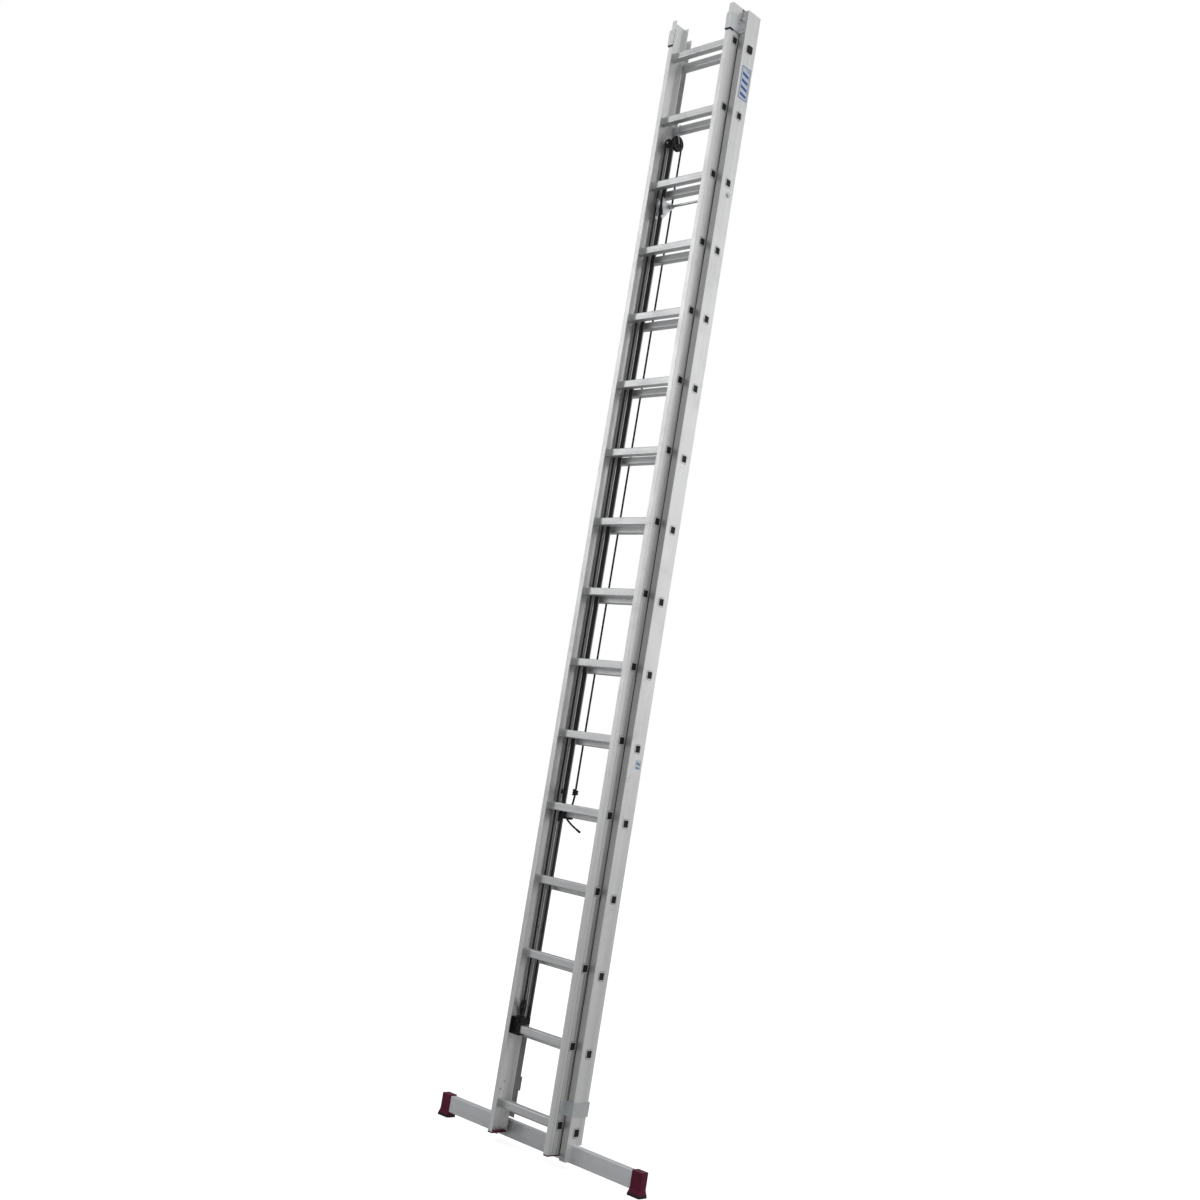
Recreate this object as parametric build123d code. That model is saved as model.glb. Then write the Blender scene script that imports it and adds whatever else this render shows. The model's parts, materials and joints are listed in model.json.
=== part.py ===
from build123d import *
import os

# Rope-operated two-section extension ladder, nested.
# Frame: stiles upright along Z, rungs along X, the sliding section on the -Y side, floor at Z = 0.

# Rungs
rung_pitch = 280.0
rung_count = 16
rung_depth = 28.0
rung_height = 30.0
rung_corner = 4.0
rung_wall = 1.8
tread_groove_width = 1.6
tread_groove_depth = 0.7
tread_groove_step = 4.4
tread_groove_count = 5
face_groove_height = 1.4
end_plug_depth = 27.5
end_plug_height = 29.5
end_plug_proud = 5.0
rung_fit = 0.05
flare_overhang = 2.6
flare_outer_thickness = 0.8
flare_inner_thickness = 3.0

# Sections
fly_width = 320.6
fly_depth = 77.0
fly_flange = 22.0
fly_wall = 2.4
base_width = 390.6
base_depth = 76.6
base_flange = 29.4
base_wall = 2.6
stile_outer_corner = 2.0
section_offset = 56.0
base_rung_drop = 20.7
fly_front_margin = 39.4
base_front_margin = 37.6
fly_top_margin = 145.0
fly_bottom_margin = 103.0
base_top_margin = 151.0
lowest_fly_rung = 148.0
overall_centre_offset = 27.2

# Stabiliser
bar_length = 1058.0
bar_depth = 28.0
bar_height = 62.0
bar_wall = 2.5
bar_front_offset = 33.6
bar_clear_floor = 20.0
bar_seat = 0.1
flange_tongue_below_bar_top = 56.0
foot_cap_length = 48.0
foot_cap_wall = 3.5
foot_cap_fit = 0.1
foot_flare = 5.0
foot_sole_height = 16.0
fly_foot_plug = 2.0
stabiliser_bolt = 10.0
stabiliser_bolt_head = 18.0

# Guides
sheet = 2.0
top_guide_height = 66.0
top_guide_above_top_rung = 42.0
top_guide_front_reach = 24.0
guide_side_gap = 2.3
guide_front_gap = 2.8
liner_gap = 0.7
liner_overhang = 5.0
bottom_guide_height = 52.0
bottom_guide_above_rung = 36.0
bottom_guide_clearance = 1.6
bottom_guide_web_width = 34.0
bottom_guide_lip = 36.0
rivet = 4.8
rivet_head = 9.0

# Rung stops (pawls) under a base rung
pawl_rung = 14
pawl_axle = 10.0
pawl_axle_drop = 45.6
pawl_axle_back = 10.0
pawl_axle_head = 20.0
pawl_axle_head_thickness = 5.0
pawl_spread = 31.0
pawl_centre_x = 120.5
pawl_sheet = 2.2
pawl_hub = 14.0
pawl_running_fit = 0.05
spring_wire = 2.0
spring_coil = 8.6
spring_turns = 4
spring_pitch = 2.9

# Pulleys hung from a base rung
pulley_rung = 15
large_sheave = 64.0
large_sheave_thickness = 11.0
large_sheave_x = -112.0
large_sheave_drop = 57.0
small_sheave = 35.0
small_sheave_thickness = 11.0
small_sheave_drop = 62.0
hook_wire = 4.0
sheave_running_fit = 0.05
hook_rung_gap = 0.6

# Rope
rope = 8.0
rope_gap = 0.35
large_rope_radius = 27.0
small_rope_radius = 13.0
knot_rung = 5
run_end_gap = 0.5

# Rope clamp on a fly rung
clamp_rung = 2
clamp_left = 154.5
clamp_right = 104.0
clamp_wall = 6.0
clamp_below = 22.0
clamp_above = 40.0
clamp_shelf_back = 33.0
clamp_knob = 13.0
strand_slot = 10.0

clamp_front = rung_depth / 2 + clamp_wall
y_fly = -overall_centre_offset
y_base = y_fly + section_offset
fly_front = y_fly - fly_front_margin
fly_rear = fly_front + fly_depth
base_front = y_base - base_front_margin
base_rear = base_front + base_depth
fly_half = fly_width / 2
base_half = base_width / 2
first_base_rung = lowest_fly_rung - base_rung_drop
fly_bottom = lowest_fly_rung - fly_bottom_margin
fly_top = lowest_fly_rung + rung_pitch * (rung_count - 1) + fly_top_margin
base_top = first_base_rung + rung_pitch * (rung_count - 1) + base_top_margin
bar_bottom = bar_clear_floor
bar_top = bar_bottom + bar_height
bar_front = base_front + bar_front_offset
bar_rear = bar_front + bar_depth


def fly_rung_height(index):
    return lowest_fly_rung + rung_pitch * (index - 1)


def base_rung_height(index):
    return first_base_rung + rung_pitch * (index - 1)


def block(x0, x1, y0, y1, z0, z1):
    return Pos((x0 + x1) / 2, (y0 + y1) / 2, (z0 + z1) / 2) * Box(abs(x1 - x0), abs(y1 - y0), abs(z1 - z0))


def mirrored(shape):
    return mirror(shape, about=Plane.YZ)


def across(x, y, z):
    return Plane(origin=(x, y, z), x_dir=(0, 1, 0), z_dir=(1, 0, 0))


def rod_x(x0, x1, y, z, diameter):
    return Pos((x0 + x1) / 2, y, z) * Rot(0, 90, 0) * Cylinder(diameter / 2, abs(x1 - x0))


def rod_y(y0, y1, x, z, diameter):
    return Pos(x, (y0 + y1) / 2, z) * Rot(90, 0, 0) * Cylinder(diameter / 2, abs(y1 - y0))


def rung_outline(grow):
    return RectangleRounded(rung_depth + 2 * grow, rung_height + 2 * grow, rung_corner + grow)


def rung_section():
    face = rung_outline(0)
    bore = RectangleRounded(rung_depth - 2 * rung_wall, rung_height - 2 * rung_wall, rung_corner - rung_wall)
    face = face - bore
    first = -tread_groove_step * (tread_groove_count - 1) / 2
    for index in range(tread_groove_count):
        y = first + tread_groove_step * index
        face -= Pos(y, rung_height / 2) * Rectangle(tread_groove_width, 2 * tread_groove_depth)
    face -= Pos(-rung_depth / 2, -rung_height / 6) * Rectangle(2 * tread_groove_depth, face_groove_height)
    return face


def bore_section():
    return RectangleRounded(rung_depth - 2 * rung_wall, rung_height - 2 * rung_wall, rung_corner - rung_wall)


def make_rung(half, wall, y, z):
    inner = half - wall
    tube = extrude(across(-inner, y, z) * rung_section(), 2 * inner)
    plain = rung_outline(0) - bore_section()
    collar = rung_outline(flare_overhang) - bore_section()
    for side in (-1, 1):
        web_start = inner if side > 0 else -half
        tube += extrude(across(web_start, y, z) * plain, wall)
        inside = inner - flare_inner_thickness if side > 0 else -inner
        tube += extrude(across(inside, y, z) * collar, flare_inner_thickness)
        outside = half if side > 0 else -half - flare_outer_thickness
        tube += extrude(across(outside, y, z) * collar, flare_outer_thickness)
    return tube


def channel(half, flange, wall, front, rear, bottom, top):
    outline = block(half - flange, half, front, rear, bottom, top)
    edges = outline.edges().filter_by(Axis.Z).sort_by(Axis.X)[-2:]
    outline = fillet(edges, stile_outer_corner)
    hollow = block(half - flange - 1, half - wall, front + wall, rear - wall, bottom - 1, top + 1)
    return outline - hollow


def rung_holes(half, wall, y, heights):
    cutter = None
    for z in heights:
        hole = extrude(across(half - wall - 1, y, z) * rung_outline(rung_fit), wall + 2)
        cutter = hole if cutter is None else cutter + hole
    return cutter


def make_fly_stile():
    body = channel(fly_half, fly_flange, fly_wall, fly_front, fly_rear, fly_bottom, fly_top)
    heights = [fly_rung_height(index) for index in range(1, rung_count + 1)]
    body -= rung_holes(fly_half, fly_wall, y_fly, heights)
    for y, z in rivet_places():
        body -= rod_x(fly_half - fly_wall - 1, fly_half + 1, y, z, rivet)
    return body


def make_base_stile():
    bottom = bar_top - flange_tongue_below_bar_top
    body = channel(base_half, base_flange, base_wall, base_front, base_rear, bottom, base_top)
    seat_front = bar_front - bar_seat
    body -= block(base_half - base_flange - 1, base_half + 1, seat_front, base_rear + 1, bottom - 1, bar_top)
    heights = [base_rung_height(index) for index in range(1, rung_count + 1)]
    body -= rung_holes(base_half, base_wall, y_base, heights)
    body -= rod_x(base_half - base_wall - 1, base_half + 1, axle_y(), axle_z(), pawl_axle + 2 * rung_fit)
    for z in screw_heights():
        body -= rod_y(base_front - 1, base_front + base_wall + 1, screw_x(), z, rivet)
    body -= rod_y(base_front - 1, base_front + base_wall + 1, bolt_x(), bolt_z(), stabiliser_bolt)
    return body


def bolt_x():
    return base_half - base_flange / 2 - 1


def bolt_z():
    return bar_bottom + bar_height * 0.45


def make_stabiliser_bar():
    half = bar_length / 2
    bar = block(-half, half, bar_front, bar_rear, bar_bottom, bar_top)
    bar = fillet(bar.edges().filter_by(Axis.X), 2.5)
    bore = block(-half - 1, half + 1, bar_front + bar_wall, bar_rear - bar_wall, bar_bottom + bar_wall, bar_top - bar_wall)
    bar -= bore
    for side in (-1, 1):
        bar -= rod_y(bar_front - 1, bar_rear + 1, side * bolt_x(), bolt_z(), stabiliser_bolt)
    return bar


def make_stabiliser_bolts():
    solids = []
    for side in (-1, 1):
        shank = rod_y(base_front, bar_rear + 8, side * bolt_x(), bolt_z(), stabiliser_bolt)
        head = rod_y(base_front - 4, base_front, side * bolt_x(), bolt_z(), stabiliser_bolt_head)
        nut_profile = Plane(origin=(side * bolt_x(), bar_rear, bolt_z()), x_dir=(1, 0, 0), z_dir=(0, 1, 0))
        nut = extrude(nut_profile * RegularPolygon(stabiliser_bolt * 0.95, 6), 7)
        solids.append(shank + head + nut)
    return Compound(children=solids)


def make_stabiliser_foot():
    half = bar_length / 2
    fit = foot_cap_fit
    wall = foot_cap_wall
    outer_x = half + wall
    inner_x = outer_x - foot_cap_length
    sleeve = block(inner_x, outer_x, bar_front - wall, bar_rear + wall, bar_bottom - fit, bar_top + wall)
    sleeve = fillet(sleeve.edges().filter_by(Axis.Z), 3.0)
    lower = Plane.XY.offset(foot_sole_height * 0.35)
    upper = Plane.XY.offset(bar_bottom + 6)
    centre = Pos((inner_x + outer_x) / 2, (bar_front + bar_rear) / 2)
    length = outer_x - inner_x
    depth = bar_depth + 2 * wall
    wide = centre * RectangleRounded(length + 2 * foot_flare, depth + 2 * foot_flare, 4.0)
    slim = centre * RectangleRounded(length, depth, 3.0)
    flared = loft([lower * wide, upper * slim])
    sole = extrude(Plane.XY * wide, foot_sole_height * 0.35)
    foot = sleeve + flared + sole
    pocket = block(inner_x - 20, half + fit / 2, bar_front - fit, bar_rear + fit, bar_bottom - fit, bar_top + fit)
    return foot - pocket


def make_stabiliser_feet():
    right = make_stabiliser_foot()
    return Compound(children=[right, mirrored(right)])


def make_top_rung_plugs():
    z = base_rung_height(rung_count)
    start = base_half + flare_outer_thickness
    head = extrude(across(start, y_base, z) * RectangleRounded(end_plug_depth, end_plug_height, 3), end_plug_proud)
    head = chamfer(head.faces().sort_by(Axis.X)[-1].edges(), 1.2)
    grow = -rung_wall - rung_fit
    shank_face = RectangleRounded(rung_depth + 2 * grow, rung_height + 2 * grow, rung_corner - rung_wall + 0.3)
    shank = extrude(across(start - 30, y_base, z) * shank_face, 30)
    right = head + shank
    return Compound(children=[right, mirrored(right)])


def top_guide_bottom():
    return base_rung_height(rung_count) + top_guide_above_top_rung + rung_height / 2


def screw_x():
    return base_half - base_flange + 12


def screw_heights():
    z = top_guide_bottom()
    return [z + 18, z + top_guide_height - 18]


def make_top_guide():
    z0 = top_guide_bottom()
    z1 = z0 + top_guide_height
    side0 = fly_half + guide_side_gap
    side1 = side0 + sheet
    front0 = fly_front - guide_front_gap - sheet
    plate = block(side0, side1, front0, base_front, z0, z1)
    hook = block(fly_half - top_guide_front_reach, side1, front0, front0 + sheet, z0, z1)
    tab = block(side0, base_half - 7, base_front - sheet, base_front, z0, z1)
    guide = plate + hook + tab
    ear = block(side1 - 0.5, side1 + 6, base_front - sheet - 9, base_front - sheet, z1 - 9, z1 - 9 + sheet)
    guide += ear
    for z in screw_heights():
        guide -= rod_y(base_front - sheet - 1, base_front + 1, screw_x(), z, rivet)
    return guide


def make_top_guide_liners():
    z0 = top_guide_bottom() - liner_overhang
    z1 = top_guide_bottom() + top_guide_height
    front1 = fly_front - liner_gap
    front0 = fly_front - guide_front_gap
    side0 = fly_half + liner_gap
    side1 = fly_half + guide_side_gap
    face = block(fly_half - top_guide_front_reach, side1, front0, front1, z0, z1)
    cheek = block(side0, side1, front0, y_fly - rung_depth / 2 - 6, z0, z1)
    right = face + cheek
    return Compound(children=[right, mirrored(right)])


def make_top_guide_screws():
    solids = []
    for side in (-1, 1):
        for z in screw_heights():
            x = side * screw_x()
            head = rod_y(base_front - sheet - 3, base_front - sheet, x, z, rivet_head)
            shank = rod_y(base_front - sheet, base_front + base_wall, x, z, rivet)
            tail = rod_y(base_front + base_wall, base_front + base_wall + 3, x, z, rivet_head)
            solids.append(head + shank + tail)
    return Compound(children=solids)


def rivet_places():
    low = fly_rung_height(1) + bottom_guide_above_rung
    return [(y_fly - 12, low + 12), (y_fly + 4, low + bottom_guide_height - 12)]


def make_bottom_guide():
    z0 = fly_rung_height(1) + bottom_guide_above_rung
    z1 = z0 + bottom_guide_height
    gap = bottom_guide_clearance
    step1 = base_front - gap
    outer = base_half + gap
    on_web = block(fly_half, fly_half + sheet, step1 - bottom_guide_web_width, step1, z0, z1)
    across_front = block(fly_half, outer + sheet, step1 - sheet, step1, z0, z1)
    along_side = block(outer, outer + sheet, step1 - sheet, base_rear + gap + sheet, z0, z1)
    lip = block(outer - bottom_guide_lip, outer + sheet, base_rear + gap, base_rear + gap + sheet, z0, z1)
    guide = on_web + across_front + along_side + lip
    for y, z in rivet_places():
        guide -= rod_x(fly_half - 1, fly_half + sheet + 1, y, z, rivet)
    return guide


def make_bottom_guide_rivets():
    solids = []
    for side in (-1, 1):
        for y, z in rivet_places():
            shank = rod_x(side * (fly_half - fly_wall), side * (fly_half + sheet), y, z, rivet)
            head = rod_x(side * (fly_half + sheet), side * (fly_half + sheet + 0.9), y, z, rivet_head)
            tail = rod_x(side * (fly_half - fly_wall - 2), side * (fly_half - fly_wall), y, z, rivet_head)
            solids.append(shank + head + tail)
    return Compound(children=solids)


def make_fly_feet():
    y0 = fly_front
    y1 = fly_rear
    x0 = fly_half - fly_flange
    sole = block(x0, fly_half, y0, y1, fly_bottom - 5, fly_bottom)
    sole = fillet(sole.edges().filter_by(Axis.Z), 1.5)
    inner = fly_half - fly_wall - foot_cap_fit
    inset = fly_wall + foot_cap_fit
    plug = block(x0 + 1, inner, y0 + inset, y1 - inset, fly_bottom, fly_bottom + fly_foot_plug)
    right = sole + plug
    return Compound(children=[right, mirrored(right)])


def axle_y():
    return y_base + pawl_axle_back


def axle_z():
    return base_rung_height(pawl_rung) - pawl_axle_drop


def make_pawl_axle():
    half = base_half + pawl_axle_head_thickness
    rod = rod_x(-base_half, base_half, axle_y(), axle_z(), pawl_axle)
    for side in (-1, 1):
        head = rod_x(side * base_half, side * half, axle_y(), axle_z(), pawl_axle_head)
        head = chamfer(head.faces().sort_by(Axis.X)[-1 if side > 0 else 0].edges(), 1.5)
        rod += head
    return rod


def pawl_cheek(x):
    plane = across(x, axle_y(), axle_z())
    back = [(-18, -44), (-10, -30), (10, -10), (12, 4), (2, 15)]
    finger = [(-28, 8), (-42, 19), (-50, 22), (-50.5, 12), (-46, -18)]
    hook = [(-33, -46), (-45, -54), (-45, -61), (-34, -64)]
    outline = make_face(Polyline(*back, *finger, *hook, close=True))
    return extrude(plane * outline, pawl_sheet)


def make_pawl(centre):
    left = centre - pawl_spread / 2 - pawl_sheet / 2
    right = centre + pawl_spread / 2 - pawl_sheet / 2
    body = pawl_cheek(left) + pawl_cheek(right)
    body += rod_x(left, right + pawl_sheet, axle_y(), axle_z(), pawl_hub)
    body -= rod_x(left - 1, right + pawl_sheet + 1, axle_y(), axle_z(), pawl_axle + 2 * pawl_running_fit)
    return body


def make_pawls():
    right = make_pawl(pawl_centre_x)
    return Compound(children=[right, mirrored(right)])


def make_spring():
    start = pawl_centre_x - pawl_spread / 2 - pawl_sheet / 2 - 1.6
    length = spring_turns * spring_pitch
    coil = Helix(spring_pitch, length, spring_coil)
    place = Location((start - spring_wire / 2 - length, axle_y(), axle_z()), (0, 90, 0))
    path = place * coil
    begin = path @ 0
    profile = Plane(origin=begin, z_dir=path % 0) * Circle(spring_wire / 2)
    body = sweep(profile, path=path)
    return body


def make_pawl_springs():
    left = make_spring()
    return Compound(children=[left, mirrored(left)])


def large_sheave_y():
    return y_base - 2.0


def large_sheave_z():
    return base_rung_height(pulley_rung) - large_sheave_drop


def small_sheave_y():
    return large_sheave_y() - large_rope_radius


def small_sheave_z():
    return base_rung_height(pulley_rung) - small_sheave_drop


def static_strand_x():
    return large_sheave_x - large_sheave_thickness / 2 - 1 - rope / 2


def small_sheave_x():
    return static_strand_x() - small_rope_radius


def left_run_x():
    return small_sheave_x() - small_rope_radius


def sheave_blank(diameter, thickness, rope_radius, bore):
    groove = rope / 2 + rope_gap
    profile = Rectangle(diameter / 2, thickness, align=(Align.MIN, Align.CENTER))
    profile -= Rectangle(bore / 2 + sheave_running_fit, thickness, align=(Align.MIN, Align.CENTER))
    profile -= Pos(rope_radius, 0) * Circle(groove)
    profile -= Pos(rope_radius, 0) * Rectangle(diameter, 2 * groove, align=(Align.MIN, Align.CENTER))
    return revolve(Plane.XZ * profile, axis=Axis.Z)


def make_large_sheave():
    wheel = sheave_blank(large_sheave, large_sheave_thickness, large_rope_radius, hook_wire)
    for index in range(5):
        angle = index * 72
        wheel -= Rot(0, 0, angle) * Pos(13, 0, 0) * Cylinder(4.5, large_sheave_thickness + 2)
    return Pos(large_sheave_x, large_sheave_y(), large_sheave_z()) * Rot(0, 90, 0) * wheel


def make_small_sheave():
    wheel = sheave_blank(small_sheave, small_sheave_thickness, small_rope_radius, hook_wire)
    return Pos(small_sheave_x(), small_sheave_y(), small_sheave_z()) * Rot(90, 0, 0) * wheel


def wire_path(points, bend):
    return FilletPolyline(*points, radius=bend)


def tube(path, diameter):
    profile = Plane(origin=path @ 0, z_dir=path % 0) * Circle(diameter / 2)
    return sweep(profile, path=path)


def hook_over_rung(x, z):
    reach = hook_wire / 2 + hook_rung_gap
    front = y_base - rung_depth / 2 - reach
    back = y_base + rung_depth / 2 + reach
    top = base_rung_height(pulley_rung) + rung_height / 2 + reach
    return [(x, front, z), (x, front, top), (x, back, top), (x, back, top - 26)]


def make_large_pulley_hook():
    z = large_sheave_z()
    y = large_sheave_y()
    leg = large_sheave_x + large_sheave_thickness / 2 + 2.6 + hook_wire / 2
    start = large_sheave_x - large_sheave_thickness / 2 - 1.5
    over = hook_over_rung(leg, z + 30)
    points = [(start, y, z), (leg, y, z)] + over
    body = tube(wire_path(points, 4.0), hook_wire)
    return body + rod_x(start - 1.5, start, y, z, hook_wire + 4)


def make_small_pulley_hook():
    z = small_sheave_z()
    x = small_sheave_x()
    over = hook_over_rung(x, z)
    start = (x, small_sheave_y() - small_sheave_thickness / 2 - 1.5, z)
    body = tube(wire_path([start] + over, 3.2), hook_wire)
    return body + rod_y(start[1] - 1.5, start[1], x, z, hook_wire + 4)


def run_bottom():
    return fly_rung_height(clamp_rung) + clamp_above


def make_rope_run_left():
    z0 = run_bottom()
    z1 = small_sheave_z() - run_end_gap
    return Pos(left_run_x(), small_sheave_y(), (z0 + z1) / 2) * Cylinder(rope / 2, z1 - z0)


def make_rope_run_middle():
    z0 = run_bottom()
    z1 = large_sheave_z() - run_end_gap
    return Pos(large_sheave_x, small_sheave_y(), (z0 + z1) / 2) * Cylinder(rope / 2, z1 - z0)


def rope_tube(points, radii, name):
    path = FilletPolyline(*points, radius=radii)
    body = tube(path, rope)
    expected = path.length * 3.14159265 * rope * rope / 4
    print(name, "length", round(path.length, 1), "radii", radii, "volume ratio", round(body.volume / expected, 4))
    return body


def make_rope_fixed_left():
    z = small_sheave_z()
    y = small_sheave_y()
    right = static_strand_x()
    left = left_run_x()
    r = small_rope_radius
    knot = base_rung_height(knot_rung)
    reach = rope / 2 + 0.6
    front = y_base - rung_depth / 2 - reach
    back = y_base + rung_depth / 2 + reach
    low = knot - rung_height / 2 - reach
    high = knot + rung_height / 2 + reach
    turn = rope + 1.2
    points = [
        (left, y, z),
        (left, y, z + r),
        (right, y, z + r),
        (right, y, high + 40),
        (right, front, high + 6),
        (right, front, low),
        (right - turn * 0.4, back, low),
        (right - turn * 0.8, back, high),
        (right - turn * 1.15, front, high),
        (right - turn * 1.2, front, low - 16),
    ]
    radii = [r - 0.01, r - 0.01, 30.0, 30.0, 8.0, 8.0, 8.0, 8.0]
    return rope_tube(points, radii, "rope_fixed_left")


def make_rope_fixed_right():
    z = large_sheave_z()
    y = large_sheave_y()
    r = large_rope_radius
    x = large_sheave_x
    knot = base_rung_height(knot_rung)
    reach = rope / 2 + 0.6
    front = y_base - rung_depth / 2 - reach
    back = y_base + rung_depth / 2 + reach
    low = knot - rung_height / 2 - reach
    high = knot + rung_height / 2 + reach
    turn = rope + 1.2
    points = [
        (x, y - r, z),
        (x, y - r, z + r),
        (x, y + r, z + r),
        (x, y + r, high + 45),
        (x, back, high + 8),
        (x, back, low),
        (x + turn * 0.4, front, low),
        (x + turn * 0.8, front, high),
        (x + turn * 1.2, back, high),
        (x + turn * 1.6, back, low),
        (x + turn * 2.1, front, low - 2),
        (x + 104, front - 4, low - 42),
    ]
    radii = [r - 0.01, r - 0.01, 30.0, 30.0, 8.0, 8.0, 8.0, 8.0, 8.0, 14.0]
    return rope_tube(points, radii, "rope_fixed_right")


def make_rope_clamp():
    z = fly_rung_height(clamp_rung)
    shelf = z + rung_height / 2 + 3
    grip = block(-clamp_left, -clamp_right, y_fly - clamp_front, y_fly + clamp_front, z - clamp_below, z + clamp_above)
    grip -= block(-clamp_left + 26, -clamp_left + 30, y_fly - clamp_front - 1, y_fly - rung_depth / 2 - 2, z - 14, z + 24)
    rear = block(-clamp_left, -clamp_right, y_fly, y_fly + clamp_shelf_back, shelf, z + clamp_above)
    body = grip + rear
    body = fillet(body.edges().filter_by(Axis.Z), 1.2)
    passage = extrude(across(-clamp_left - 1, y_fly, z) * rung_outline(rung_fit), clamp_left - clamp_right + 2)
    body -= passage
    strand = static_strand_x()
    slot_front = small_sheave_y() - strand_slot / 2
    slot_back = y_fly + clamp_shelf_back + 1
    body -= block(strand - strand_slot / 2, strand + strand_slot / 2, slot_front, slot_back, shelf - 1, z + clamp_above + 1)
    knob = rod_y(y_fly - clamp_front - 7, y_fly - clamp_front, -clamp_right - 10, z + 30, clamp_knob)
    return body + knob


def save(name, shape):
    shape.label = name
    solids = shape.solids()
    size = shape.bounding_box()
    print(name, len(solids), "solids", [round(v, 1) for v in (size.min.X, size.max.X, size.min.Y, size.max.Y, size.min.Z, size.max.Z)])
    export_step(shape, "parts/" + name + ".step")


def save_pair(name, right):
    save(name + "_right", right)
    save(name + "_left", mirrored(right))


os.makedirs("parts", exist_ok=True)
save_pair("fly_stile", make_fly_stile())
save_pair("base_stile", make_base_stile())
for number in range(1, rung_count + 1):
    save("fly_rung_%02d" % number, make_rung(fly_half, fly_wall, y_fly, fly_rung_height(number)))
    save("base_rung_%02d" % number, make_rung(base_half, base_wall, y_base, base_rung_height(number)))
save("stabiliser_bar", make_stabiliser_bar())
save("stabiliser_feet", make_stabiliser_feet())
save("stabiliser_bolts", make_stabiliser_bolts())
save("top_rung_plugs", make_top_rung_plugs())
save_pair("top_guide", make_top_guide())
save("top_guide_liners", make_top_guide_liners())
save("top_guide_screws", make_top_guide_screws())
save_pair("bottom_guide", make_bottom_guide())
save("bottom_guide_rivets", make_bottom_guide_rivets())
save("fly_feet", make_fly_feet())
save("pawl_axle", make_pawl_axle())
save("pawls", make_pawls())
save("pawl_springs", make_pawl_springs())
save("large_sheave", make_large_sheave())
save("small_sheave", make_small_sheave())
save("large_pulley_hook", make_large_pulley_hook())
save("small_pulley_hook", make_small_pulley_hook())
save("rope_clamp", make_rope_clamp())
save("rope_run_left", make_rope_run_left())
save("rope_run_middle", make_rope_run_middle())
save("rope_fixed_left", make_rope_fixed_left())
save("rope_fixed_right", make_rope_fixed_right())
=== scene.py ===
import math

import bmesh
import bpy
from mathutils import Matrix, Vector
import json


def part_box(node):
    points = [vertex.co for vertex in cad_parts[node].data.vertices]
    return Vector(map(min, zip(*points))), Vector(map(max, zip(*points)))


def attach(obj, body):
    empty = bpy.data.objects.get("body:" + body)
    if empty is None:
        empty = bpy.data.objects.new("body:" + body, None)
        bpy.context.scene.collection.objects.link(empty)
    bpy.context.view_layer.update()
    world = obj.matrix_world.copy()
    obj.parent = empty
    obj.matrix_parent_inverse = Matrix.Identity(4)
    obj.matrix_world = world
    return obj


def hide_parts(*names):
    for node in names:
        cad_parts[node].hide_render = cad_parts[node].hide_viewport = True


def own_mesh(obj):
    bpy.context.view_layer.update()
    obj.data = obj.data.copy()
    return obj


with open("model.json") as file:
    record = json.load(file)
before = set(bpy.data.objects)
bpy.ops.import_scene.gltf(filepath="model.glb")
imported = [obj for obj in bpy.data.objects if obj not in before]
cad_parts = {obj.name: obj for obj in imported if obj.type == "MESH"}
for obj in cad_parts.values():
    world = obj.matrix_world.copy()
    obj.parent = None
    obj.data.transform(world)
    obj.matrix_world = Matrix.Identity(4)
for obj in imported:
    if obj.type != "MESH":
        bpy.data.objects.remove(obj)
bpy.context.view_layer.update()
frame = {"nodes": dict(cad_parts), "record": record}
nodes = frame["nodes"]
print("frame loaded,", len(nodes), "nodes")


# camera

cameraSetup = {
    "place": (3.85539, -4.05028, 1.37437),
    "turn": (1.696693, -0.162379, 0.752793),
    "lens": 43.805,
    "sensor": 36.0,
}


def addCamera():
    data = bpy.data.cameras.new("camera")
    data.lens = cameraSetup["lens"]
    data.sensor_width = cameraSetup["sensor"]
    data.clip_end = 100.0
    camera = bpy.data.objects.new("camera", data)
    camera.location = cameraSetup["place"]
    camera.rotation_euler = cameraSetup["turn"]
    bpy.context.scene.collection.objects.link(camera)
    bpy.context.scene.camera = camera


addCamera()
print("camera placed")


# material helpers

def newMaterial(name):
    material = bpy.data.materials.new(name)
    material.use_nodes = True
    tree = material.node_tree
    shader = tree.nodes["Principled BSDF"]
    return material, tree, shader


def addNode(tree, kind, **settings):
    node = tree.nodes.new(kind)
    for key, value in settings.items():
        setattr(node, key, value)
    return node


def objectPlace(tree, scale):
    coords = addNode(tree, "ShaderNodeTexCoord")
    mapping = addNode(tree, "ShaderNodeMapping")
    mapping.inputs["Scale"].default_value = scale
    tree.links.new(coords.outputs["Object"], mapping.inputs["Vector"])
    return mapping.outputs["Vector"]


def uvPlace(tree, scale):
    coords = addNode(tree, "ShaderNodeTexCoord")
    mapping = addNode(tree, "ShaderNodeMapping")
    mapping.inputs["Scale"].default_value = scale
    tree.links.new(coords.outputs["UV"], mapping.inputs["Vector"])
    return mapping.outputs["Vector"]


def noise(tree, place, scale=1.0, detail=3.0, roughness=0.5):
    node = addNode(tree, "ShaderNodeTexNoise")
    node.inputs["Scale"].default_value = scale
    node.inputs["Detail"].default_value = detail
    node.inputs["Roughness"].default_value = roughness
    tree.links.new(place, node.inputs["Vector"])
    return node.outputs["Fac"]


def rescale(tree, value, low, high, fromLow=0.3, fromHigh=0.7):
    node = addNode(tree, "ShaderNodeMapRange")
    node.inputs["From Min"].default_value = fromLow
    node.inputs["From Max"].default_value = fromHigh
    node.inputs["To Min"].default_value = low
    node.inputs["To Max"].default_value = high
    tree.links.new(value, node.inputs["Value"])
    return node.outputs["Result"]


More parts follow.
